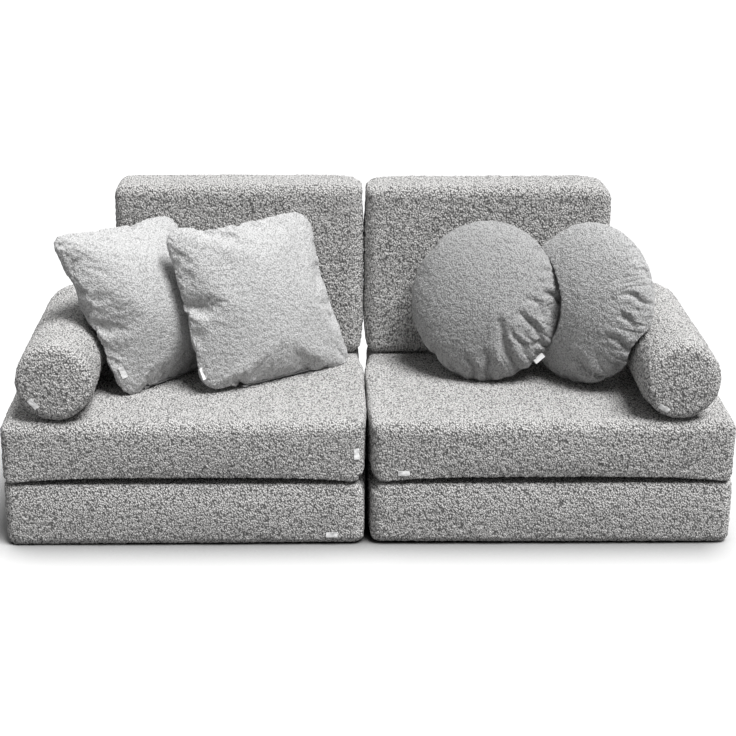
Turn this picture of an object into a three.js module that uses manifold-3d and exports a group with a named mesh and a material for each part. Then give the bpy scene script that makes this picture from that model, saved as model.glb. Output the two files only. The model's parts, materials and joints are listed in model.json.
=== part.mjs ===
// A children's sofa of loose foam cushions: two modules side by side, each a mattress folded in two
// with a backrest, a bolster as its arm and two throw pillows. Millimetres. X runs to the right,
// Y to the back and Z up, and the middle of the footprint on the floor is at the origin.
import * as THREE from 'three';
import { mergeVertices } from 'three/addons/utils/BufferGeometryUtils.js';
import { ConvexGeometry } from 'three/addons/geometries/ConvexGeometry.js';
import initManifold from 'manifold-3d';

const kernel = await initManifold();
kernel.setup();

// Seat modules. Each slab is a foam block, and the two of a module fold on each other.
const moduleWidth = 800;
const moduleDepth = 555;
const modulesGap = 8;
const slabHeight = 145;
const slabEdge = 38;
const slabBulge = 5;

// Backrests stand on the back of the seats, a finger apart.
const backrestWidth = 576;
const backrestHeight = 415;
const backrestThickness = 130;
const backrestEdge = 34;
const backrestBulge = 4;
const backrestsGap = 8;

// Bolsters lie front to back beside the backrests.
const bolsterRadius = 90;
const bolsterLength = 455;
const bolsterEdge = 26;
const bolsterCrown = 6;
const bolsterSetback = 2;
const bolsterSides = 24;
const bolsterZipFacets = 3;

// Square pillows: side, middle and rim thickness, how far their sides draw in, and how full they are.
const squareSide = 378;
const squareThickness = 128;
const squareRim = 20;
const squareDrawIn = 12;
const squareCorner = 14;
const squareFullness = 0.62;
const squareSteps = 8;

// Round pillows: gathered at the rim, and flat where they stand.
const roundRadius = 181;
const roundThickness = 142;
const roundRim = 26;
const roundFlat = 12;
const roundSides = 24;

// Covers, their foam and their zips.
const coverWall = 4;
const coreRoom = 0.5;
const fit = 0.3;
const zipTape = 1.6;
const zipWidth = 7;
const sliderLength = 14;
const slabZipLength = 560;
const backrestZipLength = 420;
const backrestZipHeight = 70;
const bolsterZipLength = 300;
const squareZipLength = 200;
const roundZipLength = 90;

// The strip that joins the two slabs of a module at the back, and the woven tags.
const leafDepth = 70;
const leafThickness = 1.2;
const leafSideInset = 60;
const tagLength = 26;
const tagHeight = 12;
const tagThickness = 0.8;
const slabTagInset = 75;
const pillowTagRise = 52;
const cornerTagInset = 20;

// How the pillows lean: turn about the upright, tilt back, and sideways slump for each millimetre
// of height. A front pillow stands at its place from the sofa's middle. The pillows are soft: a
// corner pillow gives way by the presses to its bolster and to the front pillow.
const degree = Math.PI / 180;
const leftCornerPose = { turn: 47 * degree, tilt: 14 * degree, slump: -0.2 };
const leftFrontPose = { turn: 34 * degree, tilt: 13 * degree, slump: -0.12 };
const rightCornerPose = { turn: -50 * degree, tilt: 12 * degree, slump: 0.03 };
const rightFrontPose = { turn: -16 * degree, tilt: 20 * degree, slump: 0 };
const leftPress = 26;
const rightPress = 40;
const pillowsPress = 60;
const leftFrontPlace = 241;
const rightFrontPlace = 276;
const pillowsGap = 1;
const planeStep = 2 * degree;

const finish = (color, roughness, metalness = 0) => ({ color, roughness, metalness });
const finishes = {
  boucle: finish('#b4b4b1', 0.95),
  foam: finish('#e9e2c8', 0.9),
  filling: finish('#f2f2ef', 0.95),
  zip: finish('#9d9d9a', 0.7),
  slider: finish('#b9bbbd', 0.35, 1),
  strip: finish('#a9a9a5', 0.9),
  tag: finish('#f4f4f2', 0.8),
};

const sofa = new THREE.Group();
sofa.name = 'childrens_sofa';

function addPiece(name, geometry, finishName) {
  const mesh = new THREE.Mesh(geometry, new THREE.MeshStandardMaterial(finishes[finishName]));
  mesh.name = name;
  sofa.add(mesh);
}

// Booleans on closed meshes.
function welded(geometry) {
  const bare = geometry.clone();
  bare.deleteAttribute('normal');
  bare.deleteAttribute('uv');
  return mergeVertices(bare);
}

function toSolid(geometry) {
  const mesh = welded(geometry);
  const vertProperties = new Float32Array(mesh.attributes.position.array);
  const triVerts = new Uint32Array(mesh.index.array);
  return new kernel.Manifold(new kernel.Mesh({ numProp: 3, vertProperties, triVerts }));
}

function toGeometry(solid) {
  const mesh = solid.getMesh();
  const geometry = new THREE.BufferGeometry();
  geometry.setAttribute('position', new THREE.BufferAttribute(mesh.vertProperties, mesh.numProp));
  geometry.setIndex(new THREE.BufferAttribute(mesh.triVerts, 1));
  return geometry;
}

function cut(body, ...tools) {
  return toGeometry(tools.reduce((rest, tool) => rest.subtract(toSolid(tool)), toSolid(body)));
}

function reshape(geometry, place) {
  const shaped = welded(geometry);
  const position = shaped.attributes.position;
  const point = new THREE.Vector3();
  for (let i = 0; i < position.count; i += 1) {
    point.fromBufferAttribute(position, i);
    place(point);
    position.setXYZ(i, point.x, point.y, point.z);
  }
  return shaped;
}

function box(size, centre) {
  return new THREE.BoxGeometry(size.x, size.y, size.z).translate(centre.x, centre.y, centre.z);
}

const vector = (x, y, z) => new THREE.Vector3(x, y, z);

function bounds(...geometries) {
  const whole = new THREE.Box3();
  for (const geometry of geometries) {
    geometry.computeBoundingBox();
    whole.union(geometry.boundingBox);
  }
  return whole;
}

// The places of the grid lines over one axis of a rounded block: a few in each round edge, whose
// directions are evenly spread, and one in the middle.
function gridStops(half, radius, edgeSteps) {
  const flat = half - radius;
  const edge = [];
  for (let i = 1; i <= edgeSteps; i += 1) {
    edge.push(flat + radius * Math.tan((Math.PI / 4) * (i / edgeSteps)));
  }
  const upper = [flat, ...edge];
  return [...upper.map((stop) => -stop).reverse(), 0, ...upper];
}

// A foam block on the floor: round edges, a front and two sides that swell, a flat top, bottom and
// back. inset moves every wall inwards, for the hollow of the cover and for the foam in it.
function softBlock({ width, depth, height, edge, bulge }, inset, edgeSteps) {
  const outer = vector(width / 2 - bulge, (depth - bulge) / 2, height / 2);
  const half = outer.clone().subScalar(inset);
  const radius = edge - inset;
  const stops = [half.x, half.y, half.z].map((size) => gridStops(size, radius, edgeSteps));
  const steps = stops[0].length - 1;
  const stopAt = (axis, share) => stops[axis][Math.round((share + 1 / 2) * steps)];
  const flat = half.clone().subScalar(radius);
  return reshape(new THREE.BoxGeometry(1, 1, 1, steps, steps, steps), (point) => {
    point.set(stopAt(0, point.x), stopAt(1, point.y), stopAt(2, point.z));
    const inner = point.clone().clamp(flat.clone().negate(), flat);
    const out = point.clone().sub(inner).normalize();
    point.copy(inner).addScaledVector(out, radius);
    const swell = (a, b) => bulge * (1 - a ** 2) * (1 - b ** 2);
    const rise = point.z / half.z;
    const sideways = swell(point.y / half.y, rise) * out.x;
    const forwards = swell(point.x / half.x, rise) * Math.min(out.y, 0);
    point.x += sideways;
    point.y += forwards + bulge / 2;
    point.z += outer.z;
  });
}

// A closed round body about Z from rings of a radius and a height, with its two middles.
function roundBody(rings, firstMiddle, lastMiddle, sides) {
  const drum = new THREE.CylinderGeometry(1, 1, 1, sides, rings.length - 1);
  drum.rotateX(Math.PI / 2);
  return reshape(drum, (point) => {
    const ring = Math.round((1 / 2 - point.z) * (rings.length - 1));
    const isMiddle = Math.hypot(point.x, point.y) < 1 / 2;
    const { radius, height } = rings[ring];
    const middle = ring === 0 ? firstMiddle : lastMiddle;
    point.x *= radius;
    point.y *= radius;
    point.z = isMiddle ? middle : height;
  });
}

// A bolster about Z, with round edges and a low crown on its ends. One of its sides faces -Y.
function bolsterBody({ radius, length, edge, crown, sides }, inset, edgeSteps) {
  const cornerRadius = radius - inset / Math.cos(Math.PI / sides);
  const half = length / 2 - inset - crown;
  const round = edge - inset;
  const rings = [];
  for (let i = 0; i <= edgeSteps; i += 1) {
    const angle = (Math.PI / 2) * (i / edgeSteps);
    const back = round * (1 - Math.sin(angle));
    const drop = round * (1 - Math.cos(angle));
    rings.push({ radius: cornerRadius - back, height: half - drop });
  }
  const mirrored = rings.map((ring) => ({ radius: ring.radius, height: -ring.height })).reverse();
  const body = roundBody([...rings, ...mirrored], half + crown, -half - crown, sides);
  return body.rotateZ(Math.PI / sides);
}

// A square pillow in the XY plane: full in the middle, thin at its seam, three sides drawn in, and
// the side that it stands on, at -Y, straight.
function squarePillow({ side, thickness, rim, drawIn, corner, fullness, steps }, inset) {
  const half = side / 2 - inset;
  const rimHalf = rim / 2 - inset;
  const crown = thickness / 2 - rim / 2;
  return reshape(new THREE.BoxGeometry(2, 2, 2, steps, steps, 1), (point) => {
    const u = Math.sin((point.x * Math.PI) / 2);
    const v = Math.sin((point.y * Math.PI) / 2);
    const stands = v < 0 ? 0 : 1;
    const height = rimHalf + crown * ((1 - u ** 4) * (1 - v ** 4)) ** fullness;
    const cornerPull = corner * u ** 6 * v ** 6;
    const across = drawIn * (1 - v ** 2) + cornerPull;
    const along = drawIn * (1 - u ** 2) * stands + cornerPull * stands;
    point.set(u * (half - across), v * (half - along), Math.sign(point.z) * height);
  });
}

// A round pillow in the XY plane, standing on a flat at -Y.
function roundPillow({ radius, thickness, rim, flat, sides }, inset) {
  const whole = radius - inset / Math.cos(Math.PI / sides);
  const rimHalf = rim / 2 - inset;
  const crown = thickness / 2 - rim / 2;
  const reachShares = [0.35, 0.62, 0.82, 0.94, 1];
  const rings = reachShares.map((share) => ({
    radius: whole * share,
    height: rimHalf + crown * Math.sqrt(1 - share ** 3),
  }));
  const mirrored = rings.map((ring) => ({ radius: ring.radius, height: -ring.height })).reverse();
  const middle = rimHalf + crown;
  const body = roundBody([...rings, ...mirrored], middle, -middle, sides);
  const lowest = -(radius - flat - inset);
  return reshape(body.rotateZ(Math.PI / sides), (point) => {
    point.y = Math.max(point.y, lowest);
  });
}

// A cover with its foam and its zip. shape gives the cushion's body for an inset of its walls, and
// dents the bodies that press into it, for the same inset. zipPlace is the middle of the zip on the
// outside of the cover, with X along it, Y across it and Z out of the cover.
function makeCushion(shape, zipLength, zipPlace, dents = () => []) {
  const coreInset = coverWall + coreRoom;
  const hollow = cut(shape(coverWall, 1), ...dents(coverWall));
  const core = cut(shape(coreInset, 1), ...dents(coreInset));
  const slot = new THREE.BoxGeometry(zipLength, zipWidth, 2 * coverWall + coreRoom);
  const tape = box(
    vector(zipLength - 2 * fit, zipWidth - 2 * fit, zipTape),
    vector(0, 0, zipTape / 2 - coverWall),
  );
  const sliderThickness = coverWall - zipTape - 2 * fit;
  const sliderEnd = fit + sliderLength / 2 - zipLength / 2;
  const slider = box(
    vector(sliderLength, zipWidth - 2 * fit, sliderThickness),
    vector(sliderEnd, 0, -fit - sliderThickness / 2),
  );
  for (const piece of [slot, tape, slider]) {
    piece.applyMatrix4(zipPlace);
  }
  const cover = cut(shape(0, 2), hollow, slot, ...dents(0));
  return { cover, core, zip: tape, slider };
}

function zipFrame(along, out, middle) {
  const across = out.clone().cross(along);
  return new THREE.Matrix4().makeBasis(along, across, out).setPosition(middle);
}

const rearZip = (height, depth) => zipFrame(vector(-1, 0, 0), vector(0, 1, 0), vector(0, depth, height));

function move(pieces, matrix) {
  for (const geometry of Object.values(pieces)) {
    geometry.applyMatrix4(matrix);
  }
  return pieces;
}

const shift = (x, y, z) => new THREE.Matrix4().makeTranslation(x, y, z);

// A woven tag where a ray from outside meets a cover. It lies flat on the cover, or stands out of
// the seam as a flag.
function tagOn(cover, outside, inside, along, stands) {
  const mesh = new THREE.Mesh(cover, new THREE.MeshStandardMaterial());
  const direction = inside.clone().sub(outside).normalize();
  const hit = new THREE.Raycaster(outside, direction).intersectObject(mesh)[0];
  const out = hit.face.normal.clone();
  const run = along.clone().addScaledVector(out, -along.dot(out)).normalize();
  const rise = out.clone().cross(run);
  const depth = stands ? tagHeight : tagThickness;
  const width = stands ? tagThickness : tagHeight;
  const centre = hit.point.clone().addScaledVector(out, fit + depth / 2);
  const frame = new THREE.Matrix4().makeBasis(run, rise, out).setPosition(centre);
  return new THREE.BoxGeometry(tagLength, width, depth).applyMatrix4(frame);
}

const finishOf = { cover: 'boucle', zip: 'zip', slider: 'slider', tag: 'tag' };

function addCushion(name, pieces, fillingFinish) {
  for (const [kind, geometry] of Object.entries(pieces)) {
    addPiece(`${name}_${kind}`, geometry, finishOf[kind] ?? fillingFinish);
  }
}

// The blocks of one module, and where they go.
const slab = { width: moduleWidth, depth: moduleDepth, height: slabHeight, edge: slabEdge, bulge: slabBulge };
const backrest = {
  width: backrestWidth,
  depth: backrestThickness,
  height: backrestHeight,
  edge: backrestEdge,
  bulge: backrestBulge,
};
const bolster = {
  radius: bolsterRadius,
  length: bolsterLength,
  edge: bolsterEdge,
  crown: bolsterCrown,
  sides: bolsterSides,
};
const square = {
  side: squareSide,
  thickness: squareThickness,
  rim: squareRim,
  drawIn: squareDrawIn,
  corner: squareCorner,
  fullness: squareFullness,
  steps: squareSteps,
};
const round = {
  radius: roundRadius,
  thickness: roundThickness,
  rim: roundRim,
  flat: roundFlat,
  sides: roundSides,
};

const foldStack = 2 * leafThickness + 3 * fit;
const seatTop = 2 * slabHeight + foldStack;
const backY = moduleDepth / 2;
const frontY = -backY;
const restHeight = seatTop + fit;
const bolsterAcross = bolsterRadius * Math.cos(Math.PI / bolsterSides);
const moduleX = (modulesGap + moduleWidth) / 2;
const backrestX = (backrestsGap + backrestWidth) / 2;
const bolsterX = backrestsGap / 2 + backrestWidth + fit + bolsterRadius;
const bolsterAxis = restHeight + bolsterAcross;
const backrestFront = backY - backrestThickness;

function makeSlab() {
  return makeCushion(
    (inset, edgeSteps) => softBlock(slab, inset, edgeSteps),
    slabZipLength,
    rearZip(slabHeight / 2, backY),
  );
}

function makeBackrest() {
  return makeCushion(
    (inset, edgeSteps) => softBlock(backrest, inset, edgeSteps),
    backrestZipLength,
    rearZip(backrestZipHeight, backrestThickness / 2),
  );
}

function makeBolster() {
  return makeCushion(
    (inset, edgeSteps) => bolsterBody(bolster, inset, edgeSteps + 1),
    bolsterZipLength,
    zipFrame(vector(0, 0, 1), vector(0, -1, 0), vector(0, -bolsterAcross, 0)),
  );
}

// The two kinds of pillow, lying flat with the side that they stand on at -Y. A square one has its zip
// in that side, and a round one across its back.
const pillowKinds = {
  square: {
    body: (inset) => squarePillow(square, inset),
    zipLength: squareZipLength,
    zipPlace: zipFrame(vector(1, 0, 0), vector(0, -1, 0), vector(0, -squareSide / 2, 0)),
    standsAt: -squareSide / 2,
  },
  round: {
    body: (inset) => roundPillow(round, inset),
    zipLength: roundZipLength,
    zipPlace: zipFrame(vector(1, 0, 0), vector(0, 0, -1), vector(0, 0, -roundThickness / 2)),
    standsAt: roundFlat - roundRadius,
  },
};

// Stands a pillow up: its X runs along the seat, its Y up and its face to the front, then it leans.
function leaning({ turn, tilt, slump }) {
  const along = vector(Math.cos(turn), Math.sin(turn), 0);
  const back = vector(-Math.sin(turn), Math.cos(turn), 0);
  const up = vector(0, 0, Math.cos(tilt)).addScaledVector(back, Math.sin(tilt));
  const face = along.clone().cross(up).normalize();
  up.addScaledVector(along, slump);
  return new THREE.Matrix4().makeBasis(along, up, face);
}

// Sets a leaning pillow on the seat with its back corner against the backrest.
function seated(body, place) {
  const { min, max } = bounds(body.clone().applyMatrix4(place));
  return shift(0, backrestFront - fit - max.y, restHeight - min.z).multiply(place);
}

function makePillow({ body, zipLength, zipPlace }, place, dents) {
  const shape = (inset) => body(inset).applyMatrix4(place);
  return makeCushion(shape, zipLength, place.clone().multiply(zipPlace), dents);
}

// Points all over the smallest round hull of some pieces.
function hullPoints(...geometries) {
  const corners = [];
  for (const { attributes } of geometries) {
    for (let i = 0; i < attributes.position.count; i += 1) {
      corners.push(new THREE.Vector3().fromBufferAttribute(attributes.position, i));
    }
  }
  const { position } = new ConvexGeometry(corners).attributes;
  const points = [];
  const parts = 8;
  for (let i = 0; i < position.count; i += 3) {
    const [a, b, c] = [0, 1, 2].map((k) => new THREE.Vector3().fromBufferAttribute(position, i + k));
    for (let j = 0; j <= parts; j += 1) {
      for (let k = 0; k <= parts - j; k += 1) {
        const point = a.clone().multiplyScalar((parts - j - k) / parts);
        points.push(point.addScaledVector(b, j / parts).addScaledVector(c, k / parts));
      }
    }
  }
  return points;
}

// Moves a pillow outwards, to the side given as -1 or 1, until its hull goes into the bolster there
// by press. Nothing of it goes further under the bolster's round side, so it lifts off freely.
function againstBolster(body, place, side, press) {
  const reach = bolsterRadius + 2 * fit - press;
  let travel = Infinity;
  for (const point of hullPoints(body.clone().applyMatrix4(place))) {
    const over = Math.max(point.z - bolsterAxis, 0);
    if (over < reach) {
      const halfWidth = Math.sqrt(reach ** 2 - over ** 2);
      travel = Math.min(travel, bolsterX - halfWidth - side * point.x);
    }
  }
  return shift(side * travel, 0, 0).multiply(place);
}

// What a bolster takes out of a pillow that it presses into: its round top and all below its sides.
function bolsterDents(side, inset) {
  const reach = bolsterRadius + fit + inset;
  const middle = vector(side * bolsterX, 0, bolsterAxis);
  const top = new THREE.CylinderGeometry(reach, reach, 2 * moduleDepth, 2 * bolsterSides);
  const under = box(
    vector(2 * reach, 2 * moduleDepth, bolsterAxis),
    middle.clone().setZ(bolsterAxis / 2),
  );
  return [top.translate(middle.x, middle.y, middle.z), under];
}

function farthest(direction, geometries) {
  let most = -Infinity;
  for (const { attributes } of geometries) {
    for (let i = 0; i < attributes.position.count; i += 1) {
      const point = new THREE.Vector3().fromBufferAttribute(attributes.position, i);
      most = Math.max(most, point.dot(direction));
    }
  }
  return most;
}

// The upright plane that best parts a front pillow from the corner pillow behind it. direction
// points forwards, and overlap is how far the two still reach past each other along it.
function partingPlane(front, corner) {
  let best = { overlap: Infinity };
  for (let angle = planeStep; angle < Math.PI; angle += planeStep) {
    const direction = vector(Math.cos(angle), -Math.sin(angle), 0);
    const nearest = -farthest(direction.clone().negate(), front);
    const overlap = farthest(direction, corner) + pillowsGap - nearest;
    if (overlap < best.overlap) {
      best = { angle, nearest, overlap };
    }
  }
  return best;
}

// All that lies in front of an upright plane at a distance along its direction.
function inFrontOf(angle, distance) {
  const size = 2 * moduleWidth;
  const space = box(vector(size, size, size), vector(distance + size / 2, 0, 0));
  return space.rotateZ(-angle);
}

for (const [name, side] of [['left', -1], ['right', 1]]) {
  const base = move(makeSlab(), shift(side * moduleX, 0, 0));
  const seat = move(makeSlab(), shift(side * moduleX, 0, slabHeight + foldStack));

  const leafWidth = moduleWidth - 2 * leafSideInset;
  const leafSize = vector(leafWidth, leafDepth, leafThickness);
  const leafY = backY - leafDepth / 2;
  const lowerLeaf = box(leafSize, vector(side * moduleX, leafY, slabHeight + fit + leafThickness / 2));
  const upperLeaf = lowerLeaf.clone().translate(0, 0, leafThickness + fit);
  addPiece(`${name}_fold_lower_leaf`, lowerLeaf, 'strip');
  addPiece(`${name}_fold_upper_leaf`, upperLeaf, 'strip');

  const back = move(
    makeBackrest(),
    shift(side * backrestX, backY - backrestThickness / 2, restHeight),
  );

  // The bolster lies with its zip on the lower side that faces the seat.
  const facet = (2 * Math.PI) / bolsterSides;
  const laid = new THREE.Matrix4().makeRotationX(Math.PI / 2);
  const turned = new THREE.Matrix4().makeRotationY(side * bolsterZipFacets * facet);
  const middleY = frontY + bolsterSetback + bolsterLength / 2;
  const arm = move(makeBolster(), turned.multiply(laid));
  move(arm, shift(side * bolsterX, middleY, bolsterAxis));

  // The pillows, and a tag in their seam.
  const isLeft = side < 0;
  const kind = isLeft ? pillowKinds.square : pillowKinds.round;
  const body = kind.body(0);
  const cornerPlace = againstBolster(
    body,
    seated(body, leaning(isLeft ? leftCornerPose : rightCornerPose)),
    side,
    isLeft ? leftPress : rightPress,
  );
  const tagLevel = kind.standsAt + pillowTagRise;
  const upwards = vector(0, 1, 0);
  const beyond = 2 * kind.standsAt;
  const seam = vector(0, tagLevel, 0);
  const frontTag = tagOn(body, vector(-side * beyond, tagLevel, 0), seam, upwards, true);
  const backed = seated(body, leaning(isLeft ? leftFrontPose : rightFrontPose));
  const placeX = side * (isLeft ? leftFrontPlace : rightFrontPlace);
  const beside = shift(placeX, 0, 0).multiply(backed);
  const loose = [body, frontTag].map((geometry) => geometry.clone().applyMatrix4(beside));
  const plane = partingPlane(loose, [body.clone().applyMatrix4(cornerPlace)]);
  const step = Math.max(plane.overlap - pillowsPress, 0);
  const frontPlace = shift(0, -step / Math.sin(plane.angle), 0).multiply(beside);
  const front = makePillow(kind, frontPlace, () => []);
  front.tag = frontTag.applyMatrix4(frontPlace);
  const corner = makePillow(kind, cornerPlace, (inset) => [
    ...bolsterDents(side, inset),
    inFrontOf(plane.angle, plane.nearest + step - pillowsGap - inset),
  ]);
  if (isLeft) {
    const onFace = vector(side * (-kind.standsAt - cornerTagInset), tagLevel, 0);
    const before = onFace.clone().setZ(-kind.standsAt);
    corner.tag = tagOn(body, before, onFace, upwards, false).applyMatrix4(cornerPlace);
  }

  // Tags on the slabs and the bolsters.
  const across = vector(1, 0, 0);
  const capFront = frontY - bolsterLength;
  if (isLeft) {
    const tagX = side * (modulesGap / 2 + slabTagInset);
    const lowEdge = vector(tagX, frontY + slabEdge, slabEdge);
    const out = vector(0, -slabEdge, -slabEdge / 3);
    base.tag = tagOn(base.cover, lowEdge.clone().add(out), lowEdge, across, false);
    const sideEdge = vector(side * (modulesGap / 2 + slabEdge), frontY + slabEdge, seatTop - slabHeight / 2);
    const sideways = vector(slabEdge, -2 * slabEdge, 0);
    seat.tag = tagOn(seat.cover, sideEdge.clone().add(sideways), sideEdge, vector(0, 0, 1), false);
  } else {
    const tagX = side * (modulesGap / 2 + slabTagInset);
    const lowEdge = vector(tagX, frontY + slabEdge, seatTop - slabHeight + slabEdge);
    const out = vector(0, -slabEdge, -slabEdge / 3);
    seat.tag = tagOn(seat.cover, lowEdge.clone().add(out), lowEdge, across, false);
  }
  const capAngle = isLeft ? 220 * degree : 240 * degree;
  const capReach = bolsterRadius - bolsterEdge;
  const capPoint = vector(
    side * bolsterX + capReach * Math.cos(capAngle),
    capFront,
    bolsterAxis + capReach * Math.sin(capAngle),
  );
  const capInside = vector(capPoint.x, frontY + bolsterLength, capPoint.z);
  const rimwards = vector(-Math.sin(capAngle), 0, Math.cos(capAngle));
  arm.tag = tagOn(arm.cover, capPoint, capInside, rimwards, false);

  addCushion(`${name}_base`, base, 'foam');
  addCushion(`${name}_seat`, seat, 'foam');
  addCushion(`${name}_backrest`, back, 'foam');
  addCushion(`${name}_bolster`, arm, 'foam');
  addCushion(`${name}_corner_pillow`, corner, 'filling');
  addCushion(`${name}_front_pillow`, front, 'filling');
}

export default sofa;
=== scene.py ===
# %% [markdown]
# # A children's sofa of loose foam cushions
#
# The sofa is twelve cushions in a looped boucle: four slabs, two backrests, two bolsters and four
# throw pillows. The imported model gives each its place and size, and this script its looks.

import json
import math

import bmesh
import bpy
import numpy as np
from mathutils import Matrix, Vector, noise
from mathutils.bvhtree import BVHTree

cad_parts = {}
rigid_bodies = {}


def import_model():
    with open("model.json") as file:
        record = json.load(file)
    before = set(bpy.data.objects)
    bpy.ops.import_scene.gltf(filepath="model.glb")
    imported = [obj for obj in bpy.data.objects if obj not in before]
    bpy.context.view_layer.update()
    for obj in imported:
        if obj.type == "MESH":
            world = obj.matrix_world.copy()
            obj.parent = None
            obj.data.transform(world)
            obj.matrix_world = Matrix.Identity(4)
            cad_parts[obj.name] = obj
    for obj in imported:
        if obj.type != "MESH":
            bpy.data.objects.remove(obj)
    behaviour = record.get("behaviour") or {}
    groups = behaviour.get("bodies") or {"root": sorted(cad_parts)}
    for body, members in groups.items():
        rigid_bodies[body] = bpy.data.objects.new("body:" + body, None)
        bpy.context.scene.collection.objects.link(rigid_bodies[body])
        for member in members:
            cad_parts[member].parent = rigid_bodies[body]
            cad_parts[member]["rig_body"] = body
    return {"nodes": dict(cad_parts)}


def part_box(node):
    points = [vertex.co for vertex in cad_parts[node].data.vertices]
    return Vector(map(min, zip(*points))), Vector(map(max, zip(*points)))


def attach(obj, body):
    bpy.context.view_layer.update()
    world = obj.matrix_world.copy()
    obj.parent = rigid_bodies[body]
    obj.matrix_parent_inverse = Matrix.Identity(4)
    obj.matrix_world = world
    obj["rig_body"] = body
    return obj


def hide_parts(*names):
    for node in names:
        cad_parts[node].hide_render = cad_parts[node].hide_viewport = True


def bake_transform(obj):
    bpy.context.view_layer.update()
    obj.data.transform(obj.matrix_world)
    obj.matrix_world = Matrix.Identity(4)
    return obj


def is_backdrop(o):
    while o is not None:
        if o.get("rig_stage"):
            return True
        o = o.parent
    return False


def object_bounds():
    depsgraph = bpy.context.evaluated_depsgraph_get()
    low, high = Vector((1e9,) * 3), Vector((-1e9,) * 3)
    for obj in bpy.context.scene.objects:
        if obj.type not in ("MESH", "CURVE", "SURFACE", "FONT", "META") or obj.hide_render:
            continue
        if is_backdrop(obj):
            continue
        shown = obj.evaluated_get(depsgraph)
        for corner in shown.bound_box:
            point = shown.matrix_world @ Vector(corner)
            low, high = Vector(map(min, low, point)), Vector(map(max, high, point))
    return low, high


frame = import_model()
cad_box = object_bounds()
mm = 0.001
scene = bpy.context.scene
print("pieces in the frame:", len(frame["nodes"]))

# %% [markdown]
# ## Meshes and their points
#
# Each piece starts in a bmesh. Later steps move all points of a dense mesh at once, so helpers
# hand them over as one numpy array. A modifier is applied by keeping the mesh that it evaluates
# to.


# %% Mesh helpers
def object_from(bm, name):
    mesh = bpy.data.meshes.new(name)
    bm.to_mesh(mesh)
    bm.free()
    piece = bpy.data.objects.new(name, mesh)
    scene.collection.objects.link(piece)
    return piece


def apply_modifiers(piece):
    graph = bpy.context.evaluated_depsgraph_get()
    mesh = bpy.data.meshes.new_from_object(piece.evaluated_get(graph))
    piece.modifiers.clear()
    piece.data = mesh
    mesh.name = piece.name


def points_of(piece, name="co"):
    values = np.empty(len(piece.data.vertices) * 3, np.float32)
    piece.data.vertices.foreach_get(name, values)
    return values.reshape(-1, 3).astype(float)


def set_points(piece, points):
    piece.data.vertices.foreach_set("co", points.astype(np.float32).ravel())
    piece.data.update()


def modify(piece, kind, **settings):
    modifier = piece.modifiers.new(kind, kind)
    for name, value in settings.items():
        setattr(modifier, name, value)
    apply_modifiers(piece)


def remesh(piece, voxel):
    modify(piece, "REMESH", mode="VOXEL", voxel_size=voxel)


def cover_with(piece, material):
    piece.data.materials.clear()
    piece.data.materials.append(material)


def shade_smooth(piece):
    piece.data.polygons.foreach_set("use_smooth", [True] * len(piece.data.polygons))


def tree_of(piece):
    return BVHTree.FromObject(piece, bpy.context.evaluated_depsgraph_get())


def smooth_step(low, high, values):
    share = np.clip((values - low) / (high - low), 0, 1)
    return share * share * (3 - 2 * share)


def near_edge(places, power=1):
    return np.clip(places, 0, 1) ** power


def slow_waves(points, length):
    """A smooth noise from -1 to 1 at each point, whose bumps are about length wide."""
    return np.array([noise.noise(Vector(point) / length) for point in points])

# %% [markdown]
# ## Shader maths
#
# A material's pattern is a sum of noises and cells. As a Python expression it reads like a
# formula: each operator on a signal adds the Math node that it stands for.


# %% Signals and materials
class Signal:
    """A number on its way through a material."""

    def __init__(self, finish, socket):
        self.finish = finish
        self.socket = socket

    def maths(self, operation, first, second):
        return self.finish.node("Math", {"operation": operation}, {0: first, 1: second})

    def __add__(self, other):
        return self.maths("ADD", self, other)

    def __sub__(self, other):
        return self.maths("SUBTRACT", self, other)

    def __rsub__(self, other):
        return self.maths("SUBTRACT", other, self)

    def __mul__(self, other):
        return self.maths("MULTIPLY", self, other)

    def __pow__(self, other):
        return self.maths("POWER", self, other)

    __radd__ = __add__


class Finish:
    """A material on the principled shader, with one method that adds any node."""

    def __init__(self, name, roughness, metallic=0.0, specular=0.5):
        self.material = bpy.data.materials.new(name)
        self.material.use_nodes = True
        self.tree = self.material.node_tree
        self.shader = self.tree.nodes["Principled BSDF"]
        values = {"Roughness": roughness, "Metallic": metallic, "Specular IOR Level": specular}
        self.set(self.shader, values)

    def set(self, node, values):
        for name, value in values.items():
            if isinstance(value, Signal):
                self.tree.links.new(value.socket, node.inputs[name])
            else:
                node.inputs[name].default_value = value

    def node(self, kind, settings=None, values=None, output=0):
        added = self.tree.nodes.new("ShaderNode" + kind)
        for name, value in (settings or {}).items():
            if name == "stops":
                for element, (place, grey) in zip(added.color_ramp.elements, value):
                    element.position = place
                    element.color = (grey, grey, grey, 1)
            else:
                setattr(added, name, value)
        self.set(added, values or {})
        return Signal(self, added.outputs[output])

    def place(self):
        return self.node("TexCoord", output="Object")

    def noise(self, size, where, detail=2.0):
        return self.node("TexNoise", values={"Vector": where, "Scale": 1 / size, "Detail": detail})

    def mix(self, share, first, second):
        values = {0: share, 6: first, 7: second}
        return self.node("Mix", {"data_type": "RGBA"}, values, output=2)

    def tint(self, tone, colour):
        self.set(self.shader, {"Base Color": self.mix(tone, (0, 0, 0, 1), colour)})

    def bump(self, height, depth):
        values = {"Height": height, "Distance": depth, "Strength": 1.0}
        self.set(self.shader, {"Normal": self.node("Bump", values=values)})


def paint(grey, warmth=0.0):
    """A grey as seen on the screen, from 0 to 255, as the linear colour that a shader takes."""
    channels = (grey + warmth, grey, grey - warmth)
    return (*((channel / 255) ** 2.2 for channel in channels), 1.0)

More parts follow.
